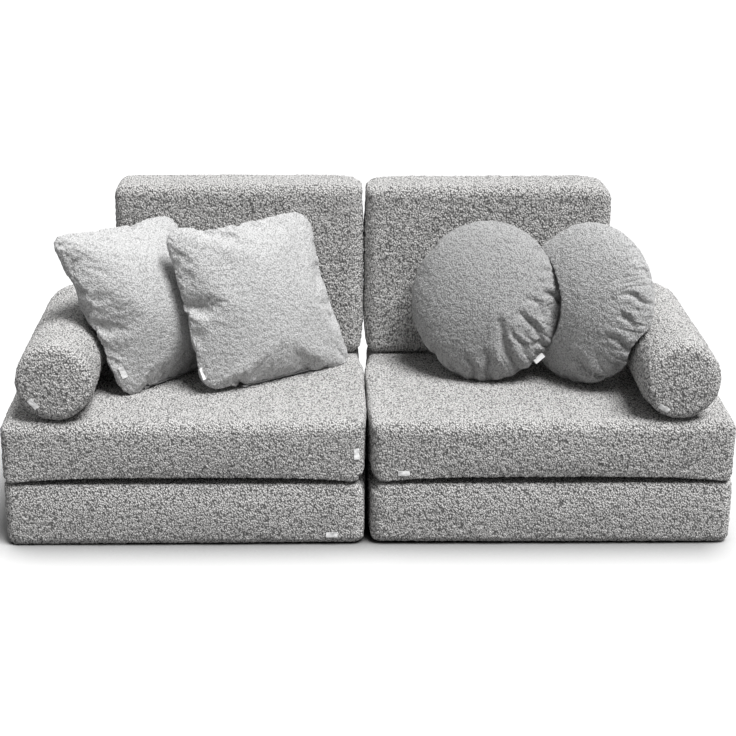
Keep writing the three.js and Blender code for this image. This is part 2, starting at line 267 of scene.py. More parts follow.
# %% [markdown]
# ## Boucle
#
# Boucle yarn stands up in loops like tiny curls, about 4 mm across, lit on top and nearly black in
# the shade between. A noise bent by its own distortion makes curly strokes, cells group them into
# loops, and a finer noise is the fuzz. Their sum is the relief and, through a ramp, a painted shade
# that darkens the colour between the loops. The loops hang, so the pattern is narrower across than
# upwards. The round pillows are darker, and the one in the corner is painted lighter than the one
# before it, as painted light for the lamp light that reaches it less.

# %% The boucle
loop_size, pillow_loop = 4.3 * mm, 3.6 * mm
loop_shape = (1.25, 1.0, 0.85)
tuft_loops = 3
patch_size = 80 * mm


def boucle(name, grey, hollow, depth, loop, warmth=0.0):
    """hollow is how dark the painted shade in the hollows between the loops is, from 0 to 1, and
    depth is the loops' relief.
    """
    cloth = Finish(name, roughness=0.95, specular=0.12)
    place = cloth.node("Mapping", values={"Vector": cloth.place(), "Scale": loop_shape})
    curly = {"Detail": 1, "Roughness": 0.5, "Distortion": 0.8}
    curls = cloth.node("TexNoise", values={"Vector": place, "Scale": 1.5 / loop, **curly})
    cells = cloth.node("TexVoronoi", {"feature": "F1"}, {"Vector": place, "Scale": 1 / loop})
    fuzz = cloth.noise(0.2 * loop, place)
    height = 1.05 - cells * 1.1 + (curls - 0.5) * 0.9 + (fuzz - 0.5) * 0.2
    pile = cloth.node("Attribute", {"attribute_name": "pile"}, output=2)
    # Painted shade: the ramp makes the colour dark in the hollows between the loops and light on
    # their tops.
    light = cloth.node("ValToRGB", {"stops": ((0.22, 1 - hollow), (0.62, 1.0))}, {"Fac": height})
    tufts = cloth.noise(tuft_loops * loop, place) - 0.5
    patches = cloth.noise(patch_size, place) - 0.5
    # The pile attribute paints sunken tufts darker, a painted shade. The tufts and patches noises
    # are the cloth's own uneven tone.
    tone = light * (0.88 + pile * 0.14) * (1 + tufts * 0.12 + patches * 0.08)
    cloth.tint(tone, paint(grey, warmth))
    cloth.set(cloth.shader, {"Sheen Weight": 0.2, "Sheen Roughness": 0.6})
    cloth.bump(height, depth)
    return cloth.material


block_boucle = boucle("block_boucle", 238, 0.8, 6.0 * mm, loop_size, warmth=1.5)
square_boucle = boucle("square_pillow_boucle", 206, 0.44, 1.5 * mm, pillow_loop)
round_boucle = boucle("round_pillow_boucle", 177, 0.5, 1.8 * mm, pillow_loop)
# Painted light: the corner round pillow is the front one's cloth, painted lighter for the lamp
# light that reaches it less.
corner_painted_lighter_boucle = boucle("corner_round_boucle", 194, 0.5, 1.8 * mm, pillow_loop)
print("boucle loops, mm:", loop_size / mm)

# %% [markdown]
# ## The pile on the mesh
#
# From the side, loops break up a cushion's outline, which no bump can do. So the dense mesh gets
# tufts of a few loops each: every point moves in or out by a cell noise, and how far it stands out
# is the attribute that the boucle reads, to paint the lower tufts darker as painted shade. Near a
# zip the pile is sheared short.

# %% Raise the pile
block_pile, block_tuft = 2.2 * mm, 10 * mm
pillow_pile, pillow_tuft = 1.6 * mm, 9 * mm
still_level = 0.6


def raise_pile(piece, depth, cell, bare):
    """still_level is the height of a tuft that neither rises nor sinks, from 0 to 1."""
    points = points_of(piece)
    out = points_of(piece, "normal")
    spots = [Vector(point) for point in points / cell]
    height = np.array([noise.noise(spot, noise_basis="VORONOI_F1") for spot in spots])
    low, high = np.percentile(height, (2, 98))
    height = 1 - np.clip((height - low) / (high - low), 0, 1)
    set_points(piece, points + out * ((height - still_level) * depth * (1 - bare))[:, None])
    pile = piece.data.attributes.new("pile", "FLOAT", "POINT")
    pile.data.foreach_set("value", (height * (1 - bare) + bare).astype(np.float32))

# %% [markdown]
# ## Zips
#
# Each cover closes with a hidden zip, in a slot between two lips of cloth. The frame holds its
# tape and slider, and the tape's mesh gives the zip's own axes. The soft form of a pillow or
# bolster misses its zip, so it is first drawn to it. Then the slot is pressed in, a little wider
# than the tape.

# %% A zip's place
slot_lip, slot_reach, slot_play = 2.5 * mm, 12 * mm, 0.6 * mm
stations_on_zip = 13


def middle_of(node):
    low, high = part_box(node)
    return np.array((low + high) / 2)


def axes_of(node, name):
    """Middle, axes and spans of a cushion's thin CAD piece. The last axis points outwards."""
    corners = points_of(frame["nodes"][node])
    middle = corners.mean(0)
    _, _, axes = np.linalg.svd(corners - middle)
    if axes[2] @ (middle - middle_of(name + "_cover")) < 0:
        axes[2] = -axes[2]
    axes[1] = np.cross(axes[2], axes[0])
    spans = [np.ptp((corners - middle) @ axis) for axis in axes]
    return middle, axes, spans


def meet_zip(piece, name, reach):
    """Draws a cover towards its zip, so that the zip lies in the cloth and not beside it."""
    middle, axes, spans = axes_of(name + "_zip", name)
    tree = tree_of(piece)
    places = np.linspace(-0.5, 0.5, stations_on_zip) * spans[0]
    stations = middle + places[:, None] * axes[0]
    nearest = np.array([tree.find_nearest(Vector(station))[0] for station in stations])
    gaps = (stations - nearest) @ axes[1:].T
    points = points_of(piece)
    along = np.clip((points - middle) @ axes[0], places[0], places[-1])
    rim = np.column_stack([np.interp(along, places, nearest[:, k]) for k in range(3)])
    past = np.abs((points - middle) @ axes[0]) - spans[0] / 2
    away = np.hypot(np.linalg.norm(points - rim, axis=1), np.clip(past, 0, None))
    pull = np.exp(-((away / reach) ** 2))
    for k, axis in enumerate(axes[1:]):
        points += (np.interp(along, places, gaps[:, k]) * pull)[:, None] * axis
    set_points(piece, points)
    print(piece.name, "met its zip from", (np.abs(gaps).max(0) / mm).round(1), "mm away")


def open_slot(piece, name):
    """Presses the slot of a zip into a cover and returns how bare of pile each point near it is."""
    middle, axes, spans = axes_of(name + "_zip", name)
    points = points_of(piece)
    along, across, out = ((points - middle) @ axis for axis in axes)
    inside = 1 - smooth_step(spans[0] / 2, spans[0] / 2 + slot_lip, np.abs(along))
    inside *= 1 - smooth_step(spans[1] / 2, spans[1] / 2 + slot_lip, np.abs(across))
    near = np.abs(out) < slot_reach
    inside *= near
    floor_level = -spans[2] / 2 - slot_play
    sink = np.maximum(out - floor_level, 0) * inside
    set_points(piece, points - sink[:, None] * axes[2])
    beside = 1 - smooth_step(spans[1], spans[1] + 3 * slot_lip, np.abs(across))
    beside *= 1 - smooth_step(spans[0] / 2, spans[0] / 2 + 3 * slot_lip, np.abs(along))
    return np.maximum(inside, beside * near)

# %% [markdown]
# ## Foam and fibre
#
# Foam has fine open cells, and the pillows hold a white inner of crimped fibre. Either one is made
# from its own cover, smaller and smoother, so it can't show through where the cover is slack.

# %% Foam and fibre
foam_inset, foam_voxel = 7 * mm, 9 * mm
fibre_inset, fibre_voxel = 9 * mm, 7 * mm
ease_factor, ease_rounds = 0.8, 6


def plain_stuff(name, grey, warmth, cell, depth):
    stuff = Finish(name, roughness=0.95, specular=0.2)
    cells = stuff.node("TexVoronoi", values={"Vector": stuff.place(), "Scale": 1 / cell})
    clouds = stuff.noise(40 * mm, stuff.place())
    tone = 0.8 + cells * 0.25 + clouds * 0.1
    stuff.tint(tone, paint(grey, warmth))
    stuff.bump(cells, depth)
    return stuff.material


def filling(cover, name, stuff, kind, inset, voxel):
    inner = cover.copy()
    inner.data = cover.data.copy()
    inner.name = inner.data.name = name + "_" + kind
    scene.collection.objects.link(inner)
    remesh(inner, voxel)
    modify(inner, "SMOOTH", factor=ease_factor, iterations=ease_rounds)
    set_points(inner, points_of(inner) - points_of(inner, "normal") * inset)
    cover_with(inner, stuff)
    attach(inner, name)
    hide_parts(name + "_core")


foam = plain_stuff("cream_foam", 232, 14.0, cell=1.6 * mm, depth=0.4 * mm)
fibre = plain_stuff("white_fibre", 244, 0.0, cell=4.0 * mm, depth=0.6 * mm)
print("materials inside the cushions:", foam.name, fibre.name)

# %% [markdown]
# ## Foam blocks
#
# Slabs and backrests are foam in a boxed cover. The foam pushes the faces out and the seams hold
# the edges, which opens the dark arched gap between two stacked slabs. A bevelled box gives the
# round edges, a voxel remesh even faces of 4 mm, and then the points move: corners turn rounder or
# squarer, faces swell, edges draw in, and a slow noise makes them uneven.

# %% Round edges
hair = 0.01 * mm


def bevel(bm, edges, radius):
    shape = {"segments": 8, "profile": 0.5, "clamp_overlap": True, "material": -1}
    bmesh.ops.bevel(
        bm, geom=edges, offset=radius, offset_type="OFFSET", affect="EDGES", **shape
    )


def level_edges(bm, height):
    return [e for e in bm.edges if all(abs(v.co.z - height) < hair for v in e.verts)]


def upright_edges(bm):
    return [e for e in bm.edges if abs(e.verts[0].co.z - e.verts[1].co.z) > mm]


def rounded_box(name, low, high, side_edge, top_edge, bottom_edge):
    bm = bmesh.new()
    bmesh.ops.create_cube(bm, size=1)
    bmesh.ops.scale(bm, vec=high - low, verts=bm.verts)
    bmesh.ops.translate(bm, vec=(low + high) / 2, verts=bm.verts)
    bevel(bm, upright_edges(bm), side_edge)
    bevel(bm, level_edges(bm, high.z), top_edge)
    bevel(bm, level_edges(bm, low.z), bottom_edge)
    return object_from(bm, name)


def turn_corner(points, corner, radius, signs, share, squarer):
    """Reshapes an edge from front to back. corner is its (x, z), and signs point out of the block.
    A quarter circle becomes a squarer curve, or else a tight corner becomes a quarter circle."""
    centre = np.array(corner) - np.array(signs) * radius
    across, up = ((points[:, (0, 2)] - centre) * signs / radius).T
    reach = np.hypot(across, up) + 1e-9
    power = 5 if squarer else 14
    norm = ((np.abs(across) / reach) ** power + (np.abs(up) / reach) ** power) ** (1 / power)
    factor = 1 / norm if squarer else norm
    factor = np.where((across > 0) & (up > 0), 1 + (factor - 1) * share, 1.0)
    points[:, 0] = centre[0] + (points[:, 0] - centre[0]) * factor
    points[:, 2] = centre[1] + (points[:, 2] - centre[1]) * factor

# %% [markdown]
# A point's places go from -1 to 1: u across the sofa, v from front to back and t upwards. A high
# power keeps a movement close to an edge, and a product keeps it to a corner. rear_room keeps the
# rear back, so that the slabs of an opened mattress don't cut into each other.

# %% A foam block
front_slack, rear_room = 4.5 * mm, 1.5 * mm
block_wave = 90 * mm


def foam_block(name, voxel, edges, swell, grow, arch=0.0, foot=(0.0, 0.0), drop=(0.0, 0.0),
               slack=(0.0, 0.0, 0.0), corners=(0.0, 0.0, 0.0), recess=0.0, uneven=1.0 * mm):
    """grow is how far the cover stands proud: outwards, inwards, up. arch is how far the lower
    front edge rises in the middle, foot how far at the outer and the inner end, and drop how far
    the top falls there. slack is how far the inner side gives way near the back, the top and the
    bottom. corners are the radii, seen from the front, of the inner top, inner bottom and outer
    bottom corner, and recess is how far the upper front edge lies back."""
    node = name + "_cover"
    low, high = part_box(node)
    outer, inner, up = grow
    side = -1 if low.x + high.x < 0 else 1
    low.x -= outer if side < 0 else inner
    high.x += outer if side > 0 else inner
    high.z += up
    high.y -= rear_room
    block = rounded_box(name + "_boucle_cover", low, high, *edges)
    remesh(block, voxel)
    points = points_of(block)
    middle = np.array((low + high) / 2)
    half = np.array((high - low) / 2)
    inner_x, outer_x = (low.x, high.x) if side > 0 else (high.x, low.x)
    depth = (points[:, 1] - middle[1]) / half[1]
    if edges[1] > edges[0]:
        front = 1 - smooth_step(0.25, 0.5, depth)
        turn_corner(points, (inner_x, high.z), edges[1], (-side, 1), front, squarer=True)
    near_front = 1 - smooth_step(-0.8, -0.5, depth)
    for x, z, radius in zip((inner_x, inner_x, outer_x), (high.z, low.z, low.z), corners):
        if radius:
            signs = (-side if x == inner_x else side, 1 if z == high.z else -1)
            turn_corner(points, (x, z), radius, signs, near_front, squarer=False)
    u, v, t = ((points - middle) / half).T
    out = points_of(block, "normal")
    deep = swell * np.where(v < 0, 1.0, 0.5)
    points[:, 1] -= deep * (1 - (1 - u**2) * (1 - t**2)) * out[:, 1]
    sideways = swell * np.where(side * u < 0, 0.3, 1.0)
    points[:, 0] -= sideways * (1 - (1 - v**2) * (1 - t**2)) * out[:, 0]
    under = near_edge(-t, 3)
    points[:, 2] += arch * (1 - u**4) * near_edge(-t, 1.5) * near_edge(-v, 0.7)
    points[:, 2] += 0.4 * arch * (1 - v**2) * under * np.abs(u) ** 10
    feet = (foot[1], 0.4 * (foot[0] + foot[1]), foot[0])
    rise = np.interp(side * u, (-1, -0.2, 1), feet)
    points[:, 2] += rise * under * near_edge(-v, 12)
    ends = near_edge((np.abs(u) - 0.7) / 0.3, 2) * near_edge(t, 2)
    points[:, 2] -= np.where(side * u > 0, drop[0], drop[1]) * ends
    inward = side * near_edge(-side * u, 6)
    points[:, 1] += recess * near_edge(t, 2) * near_edge(-v, 2)
    points[:, 0] += front_slack * (1 - smooth_step(-0.97, -0.6, v)) * inward
    high_rear = smooth_step(0.35, 0.65, v) * smooth_step(-0.6, 0.4, t)
    points[:, 0] += slack[0] * high_rear * inward
    points[:, 0] += slack[1] * smooth_step(0.45, 0.95, t) * inward
    points[:, 0] += slack[2] * near_edge((-0.66 - t) / 0.34) * inward
    resting = near_edge(-out[:, 2])
    points += out * (slow_waves(points, block_wave) * uneven * (1 - resting))[:, None]
    set_points(block, points)
    filling(block, name, foam, "foam", foam_inset, foam_voxel)
    raise_pile(block, block_pile, block_tuft, bare=open_slot(block, name))
    finish_cushion(block, name, block_boucle)


def finish_cushion(piece, name, material):
    cover_with(piece, material)
    shade_smooth(piece)
    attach(piece, name)
    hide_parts(name + "_cover")
    triangles = sum(len(face.vertices) - 2 for face in piece.data.polygons)
    print(piece.name, triangles, "triangles")

# %% [markdown]
# The two slabs of a module are alike, but the inner faces of a folded mattress press on each
# other, so their edges are sharper than those on top. The upper slab's lower edge arches up in the
# middle, and the lower slab's front lifts a little at its inner end. The right module is fuller by
# 3 mm.

# %% The slabs and the backrests
side_edge, round_edge, tight_edge = 26 * mm, 32 * mm, 8 * mm
for side, wider in (("left", 0), ("right", 3 * mm)):
    foam_block(
        side + "_base",
        voxel=4.2 * mm,
        edges=(side_edge, tight_edge, 18 * mm),
        swell=4 * mm,
        grow=(2 * wider, 2 * mm, 1.4 * mm),
        foot=(wider, 6 * mm + wider),
        corners=(30 * mm, 0, 0),
        recess=6 * mm,
    )
    foam_block(
        side + "_seat",
        voxel=4.0 * mm,
        edges=(side_edge, round_edge, tight_edge),
        swell=5 * mm,
        grow=(1 * mm + wider, 2 * mm, 0),
        arch=15 * mm,
        slack=(7 * mm, 0, 0),
        corners=(0, 34 * mm, 16 * mm),
    )
    foam_block(
        side + "_backrest",
        voxel=3.6 * mm,
        edges=(26 * mm, 30 * mm, 28 * mm),
        swell=4 * mm,
        grow=(4 * mm - wider, 3.2 * mm, 3 * mm - wider),
        drop=(3 * mm + 4 * wider, 9 * mm),
        slack=(0, 3.5 * mm, 7 * mm),
        uneven=1.4 * mm,
    )

# %% [markdown]
# ## Bolsters
#
# A bolster is a foam roll in a tube of cloth with a round cap at each end. The cap's seam is
# pulled round the foam, so the rim is a soft edge and the cap a shallow dome. A cone with two
# equal radii is the roll. It tapers a little towards the front, and its weight flattens it where
# it lies.

# %% A bolster
bolster_voxel, bolster_rim, bolster_crown = 3 * mm, 19 * mm, 4 * mm
bolster_wave, bolster_uneven = 80 * mm, 1.2 * mm
bolster_taper = 0.07
bolster_sag, bolster_lift, bolster_spread = 2.5 * mm, 0.4 * mm, 0.3


def bolster(name):
    node = name + "_cover"
    low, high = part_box(node)
    radius = (high.z - low.z) / 2
    length = high.y - low.y
    bm = bmesh.new()
    bmesh.ops.create_cone(
        bm,
        cap_ends=True,
        segments=72,
        radius1=radius,
        radius2=radius,
        depth=length,
        matrix=Matrix.Translation((low + high) / 2) @ Matrix.Rotation(math.pi / 2, 4, "X"),
    )
    rims = [e for e in bm.edges if abs(e.verts[0].co.y - e.verts[1].co.y) < hair]
    bevel(bm, rims, bolster_rim)
    roll = object_from(bm, name + "_boucle_cover")
    remesh(roll, bolster_voxel)
    points = points_of(roll)
    out = points_of(roll, "normal")
    middle = np.array((low + high) / 2)
    away = points - middle
    reach = np.hypot(away[:, 0], away[:, 2]) / radius
    crown = bolster_crown * reach**2
    caps = smooth_step(0.42, 0.5, np.abs(away[:, 1]) / length)
    points[:, 1] -= np.sign(away[:, 1]) * crown * caps
    points += out * (slow_waves(points, bolster_wave) * bolster_uneven)[:, None]
    outside = low.x if low.x + high.x < 0 else high.x
    slim = 1 - bolster_taper * (1 - smooth_step(-0.1, 0.4, away[:, 1] / length))
    points[:, 0] = outside + (points[:, 0] - outside) * slim
    points[:, 2] = high.z + (points[:, 2] - high.z) * (1 + slim) / 2
    set_points(roll, points)
    filling(roll, name, foam, "foam", foam_inset, foam_voxel)
    meet_zip(roll, name, reach=30 * mm)
    raise_pile(roll, block_pile, block_tuft, bare=open_slot(roll, name))
    points = points_of(roll)
    upper = smooth_step(-0.6, 1, (points[:, 2] - middle[2]) / radius)
    points[:, 2] -= bolster_sag * (1 - upper)
    over = low.z + bolster_lift - points[:, 2]
    points[:, 2] = np.where(over > 0, low.z + bolster_lift, points[:, 2])
    points[:, 0] += np.sign(away[:, 0]) * bolster_spread * np.clip(over, 0, None)
    set_points(roll, points)
    finish_cushion(roll, name, block_boucle)


for side in ("left", "right"):
    bolster(side + "_bolster")

# %% [markdown]
# ## Throw pillows
#
# A pillow's cover is cut flat and then stuffed, and the spare cloth gathers along the seam. Cloth
# under pressure does just that: a thin rounded square or a low lens of 5 mm faces is blown up
# lying flat, and wrinkles form at its rim, in each pillow in a way of its own because of a faint
# seeded noise.

# %% Blow a pillow up
cloth_voxel = 5 * mm
unrest, unrest_size = 0.8 * mm, 30 * mm


def blow_up(piece, pressure, frames, shear, seed):
    remesh(piece, cloth_voxel)
    points = points_of(piece)
    shift = Vector((seed, seed, seed))
    for point in points:
        point[2] += unrest * noise.noise(Vector(point) / unrest_size + shift)
    set_points(piece, points)
    cloth = piece.modifiers.new("cloth", "CLOTH")
    settings = cloth.settings
    settings.quality = 5
    settings.shear_stiffness = shear
    settings.use_pressure = True
    settings.uniform_pressure_force = pressure
    settings.effector_weights.gravity = 0
    cloth.point_cache.frame_start, cloth.point_cache.frame_end = 1, frames
    scene.frame_start, scene.frame_end = 1, frames
    for number in range(1, frames + 1):
        scene.frame_set(number)
    apply_modifiers(piece)
    size = np.ptp(points_of(piece), axis=0) / mm
    print(piece.name, "blown up to", size.round(1), "mm")

# %% [markdown]
# The square one is cut with round corners and sides that bow out, because the stuffing draws them
# in again. What still draws in is stretched straighter, most of all the side that it stands on,
# and the corners are pulled to where the real pillow has them.

# %% A square pillow lying flat
square_side, square_thickness = 384 * mm, 128 * mm
cut_side, cut_thickness, cut_corner, cut_bow = 396 * mm, 30 * mm, 46 * mm, 0.05


def to_size(piece, width, height, thickness):
    points = points_of(piece)
    points -= (points.min(0) + points.max(0)) / 2
    points *= np.array((width, height, thickness)) / np.ptp(points, axis=0)
    set_points(piece, points)


def dome(piece, extra):
    """Stuffs a pillow fuller in the middle, by a share of its thickness."""
    points = points_of(piece)
    half = np.ptp(points, axis=0) / 2
    u, v = points[:, 0] / half[0], points[:, 1] / half[1]
    points[:, 2] *= 1 + extra * np.clip(1 - u**2, 0, 1) * np.clip(1 - v**2, 0, 1)
    set_points(piece, points)


def pin_corners(piece, moves):
    """Pulls a pillow's corners sideways, in mm: first the two at the top, from the left."""
    points = points_of(piece)
    u, v = (points[:, :2] / (square_side / 2)).T
    top, right = np.clip((1 + v) / 2, 0, 1), np.clip((1 + u) / 2, 0, 1)
    weights = (top * (1 - right), top * right, (1 - top) * (1 - right), (1 - top) * right)
    for weight, move in zip(weights, moves):
        points[:, :2] += weight[:, None] * np.array(move) * mm
    set_points(piece, points)


def straighten(piece, axis, sign, reach, share):
    """Stretches one half of a square pillow until its rim is nearer to a straight line."""
    points = points_of(piece)
    bins = np.linspace(-0.44, 0.44, 23) * square_side
    beside = [np.abs(points[:, 1 - axis] - place) < 10 * mm for place in bins]
    rims = [(points[row, axis] * sign).max() for row in beside]
    rim = np.interp(points[:, 1 - axis], bins, rims)
    out = np.clip(sign * points[:, axis] / rim, 0, 1) ** 2
    points[:, axis] += sign * (reach - rim) * out * share
    set_points(piece, points)


def square_pillow(name, seed, fullness):
    bm = bmesh.new()
    bmesh.ops.create_cube(bm, size=1)
    bmesh.ops.scale(bm, vec=(cut_side, cut_side, cut_thickness), verts=bm.verts)
    bevel(bm, upright_edges(bm), cut_corner)
    pillow = object_from(bm, name + "_boucle_cover")
    remesh(pillow, cloth_voxel)
    points = points_of(pillow)
    u, v = (points[:, :2] / (cut_side / 2)).T
    points[:, 0] *= 1 + cut_bow * (1 - v**2)
    points[:, 1] *= 1 + cut_bow * (1 - u**2)
    set_points(pillow, points)
    blow_up(pillow, pressure=6.0, frames=25, shear=8, seed=seed)
    to_size(pillow, square_side, square_side, square_thickness)
    for axis, sign, share in ((0, 1, 0.5), (0, -1, 0.8), (1, 1, 0.6), (1, -1, 0.9)):
        straighten(pillow, axis, sign, square_side / 2, share)
    dome(pillow, fullness)
    return pillow

# %% [markdown]
# The round one is a lens. Its cover is gathered on one side of the rim, and deep folds run from
# there towards the middle. Each is a valley along a line between two points, with a puff of cloth
# on either side. The points are shares of the radius.

# %% A round pillow lying flat
round_radius, round_thickness = 185 * mm, 132 * mm
lens_radius, lens_height = 190 * mm, 60 * mm


def fold_in(piece, folds):
    """folds are (start, end, depth, half width), with points as (x, y) and the rest in mm."""
    points = points_of(piece)
    out = points_of(piece, "normal")
    flat = points[:, :2] / round_radius
    faces_up = smooth_step(-0.1, 0.25, out[:, 2])
    for start, end, depth, width in folds:
        start, end, depth, width = np.array(start), np.array(end), depth * mm, width * mm
        line = end - start
        share = np.clip((flat - start) @ line / (line @ line), 0, 1)
        bend = 0.03 * np.sin(share * 5 + start[0] * 9)
        side = np.array((-line[1], line[0])) / np.linalg.norm(line)
        nearest = start + share[:, None] * line + bend[:, None] * side
        away = np.linalg.norm(flat - nearest, axis=1) * round_radius
        across = (flat - nearest) @ side * round_radius
        deep = 0.85 * depth * np.sin(np.pi * (0.15 + 0.75 * share)) ** 0.7
        valley = np.exp(-((away / width) ** 2))
        puff = np.exp(-(((away - 2.6 * width) / (1.5 * width)) ** 2))
        puff *= np.where(across > 0, 0.55, 0.35)
        points -= out * (deep * (valley - puff) * faces_up)[:, None]
    set_points(piece, points)


def crinkle(piece, towards, spread, depth, seed):
    """Small creases that run inwards from the gathered part of the rim. Angles in degrees."""
    points = points_of(piece)
    out = points_of(piece, "normal")
    reach = np.hypot(points[:, 0], points[:, 1]) / round_radius
    angle = np.arctan2(points[:, 1], points[:, 0])
    turned = np.abs((angle - math.radians(towards) + np.pi) % (2 * np.pi) - np.pi)
    where = 1 - smooth_step(0.6, 1.0, turned / math.radians(spread))
    where *= smooth_step(0.5, 0.85, reach) * smooth_step(-0.1, 0.3, out[:, 2])
    inwards = reach * 2.5 + 0.4 * np.sin(angle * 5)
    spots = np.column_stack((angle * 7, inwards, np.full(len(points), seed)))
    ridges = np.array([1 - 2 * abs(noise.noise(Vector(spot))) for spot in spots])
    valleys = np.clip(ridges, 0, 1) ** 5
    points -= out * (depth * where * valleys)[:, None]
    set_points(piece, points)


def round_pillow(name, seed, oval):
    bm = bmesh.new()
    bmesh.ops.create_uvsphere(bm, u_segments=64, v_segments=32, radius=1)
    bmesh.ops.scale(bm, vec=(lens_radius, lens_radius, lens_height), verts=bm.verts)
    pillow = object_from(bm, name + "_boucle_cover")
    blow_up(pillow, pressure=3.0, frames=20, shear=15, seed=seed)
    to_size(pillow, 2 * round_radius * oval, 2 * round_radius, round_thickness)
    dome(pillow, extra=0.3)
    return pillow

# %% [markdown]
# ## Standing the pillows up
#
# A pillow turns about the upright, tilts back and slumps to one side, and is moved to where the
# frame has it. What then reaches into the seat, the backrest or the bolster is pressed flat,
# because the pillow is softer than foam, and where another pillow leans on it, it is dented.

# %% Lean and press a pillow
seat_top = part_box("left_front_pillow_cover")[0].z
sunk, touching, pressed_room, dent_room = 3 * mm, 0.4 * mm, 2 * mm, 3 * mm
far = 400 * mm


def lean(piece, turn, tilt, slump):
    turn, tilt = math.radians(turn), math.radians(tilt)
    along = Vector((math.cos(turn), math.sin(turn), 0))
    back = Vector((-math.sin(turn), math.cos(turn), 0))
    up = Vector((0, 0, math.cos(tilt))) + back * math.sin(tilt)
    face = along.cross(up).normalized()
    up = up + along * slump
    piece.data.transform(Matrix((along, up, face)).transposed().to_4x4())


def stand(piece, node, aside):
    """Moves a leaning pillow to its CAD node's place, a little into the seat and aside."""
    points = points_of(piece)
    low, high = (np.array(corner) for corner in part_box(node))
    own_low, own_high = points.min(0), points.max(0)
    across = (low[0] + high[0] - own_low[0] - own_high[0]) / 2
    shift = np.array((across, high[1] - own_high[1], low[2] - sunk - own_low[2]))
    shift += np.array(aside) * mm
    set_points(piece, points + shift)
    print(piece.name, "stands at", (shift / mm).round(1), "mm")


def press(piece, side):
    """Presses a pillow flat on the seat, the backrest and its bolster."""
    points = points_of(piece)
    back_low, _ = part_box(side + "_backrest_cover")
    roll_low, roll_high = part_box(side + "_bolster_cover")
    sign = -1 if side == "left" else 1
    axis_x, axis_z = (roll_low.x + roll_high.x) / 2, (roll_low.z + roll_high.z) / 2
    radius = (roll_high.z - roll_low.z) / 2 + pressed_room
    aside, above = points[:, 0] - axis_x, points[:, 2] - axis_z
    under = (above < 0) & (sign * aside > -radius)
    points[under, 0] = axis_x - sign * radius
    aside = points[:, 0] - axis_x
    reach = np.hypot(aside, above)
    inside = (above >= 0) & (reach < radius)
    scale = np.where(inside, radius / np.maximum(reach, mm), 1)
    points[:, 0] = axis_x + aside * scale
    points[:, 2] = axis_z + above * scale
    points[:, 1] = np.minimum(points[:, 1], back_low.y - pressed_room)
    points[:, 2] = np.maximum(points[:, 2], seat_top + touching)
    set_points(piece, points)


def press_on(piece, other, towards):
    """Dents a pillow: no point of it stays inside the other one or on its far side."""
    tree = tree_of(other)
    points = points_of(piece)
    away = Vector(towards).normalized()
    dented = 0
    for point in points:
        start = Vector(point) + away * far
        place = tree.ray_cast(start, -away)[0]
        if place is not None and (place - Vector(point)).dot(away) > -dent_room:
            point[:] = place + away * dent_room
            dented += 1
    set_points(piece, points)
    print(piece.name, "dented at", dented, "points")

# %% [markdown]
# A gathered seam makes folds of many lengths, here like those of the real pillows: where each one
# starts and ends, how deep it is and half its width.

# %% The folds of the round pillows
front_folds = (
    ((0.70, 0.43), (0.97, 0.36), 4, 5),
    ((0.69, 0.30), (0.74, 0.20), 3, 5),
    ((0.76, 0.14), (0.99, 0.09), 8, 5),
    ((0.60, 0.08), (0.76, -0.10), 5, 5),
    ((0.55, -0.12), (0.76, -0.44), 10, 6),
    ((0.43, -0.32), (0.56, -0.60), 7, 5),
    ((0.26, -0.26), (0.50, -0.88), 10, 8),
    ((0.10, -0.66), (0.17, -0.98), 9, 7),
    ((-0.10, -0.72), (-0.03, -0.98), 8, 6),
    ((-0.33, -0.80), (-0.26, -0.98), 7, 6),
    ((-0.62, -0.74), (-0.54, -0.86), 5, 5),
    ((0.66, -0.48), (0.88, -0.50), 6, 5),
)
corner_folds = (
    ((0.72, 0.58), (0.88, 0.56), 5, 5),
    ((0.72, 0.28), (0.97, 0.26), 7, 5),
    ((0.76, 0.02), (0.94, -0.04), 5, 5),
    ((0.68, -0.24), (0.90, -0.36), 6, 6),
    ((0.34, -0.64), (0.56, -0.88), 12, 9),
    ((0.02, -0.82), (0.06, -0.99), 6, 6),
    ((0.50, 0.76), (0.60, 0.86), 4, 5),
)

# %% [markdown]
# A pose repeats how the frame's pillow leans: degrees of turn and tilt, and sideways slump.
# Corners and aside are in mm, gathered is the middle and half width of the gathers, in degrees,
# and behind is which ways the pillow in front is left. That one comes first, because it dents the
# other.

# %% The four pillows
zip_reach, crease_depth = 55 * mm, 3.5 * mm
pillows = {
    "left_front_pillow": dict(
        cloth=square_boucle, pose=(34, 13, -0.12), seed=11, fullness=0.22, aside=(0, 0, -12),
        corners=((12, -8), (-1, -21), (6, 4), (24, -25)), behind=(),
    ),
    "left_corner_pillow": dict(
        cloth=square_boucle, pose=(53, 14, -0.2), seed=3, fullness=0.6, aside=(-15, 16, 0),
        corners=((-8, 20), (-22, -14), (19, 5), (-14, 8)), behind=((-0.743, 0.669, 0),),
    ),
    "right_front_pillow": dict(
        cloth=round_boucle, pose=(-16, 19, 0), seed=19, oval=0.94, aside=(2, 10, 1),
        folds=front_folds, gathered=(-35, 65), behind=(),
    ),
    "right_corner_pillow": dict(
        cloth=corner_painted_lighter_boucle, pose=(-50, 12, 0.03), seed=7, oval=1.0, aside=(-14, 4, 2),
        folds=corner_folds, gathered=(-10, 75), behind=((0.883, 0.469, 0), (0.155, 0.988, 0)),
    ),
}

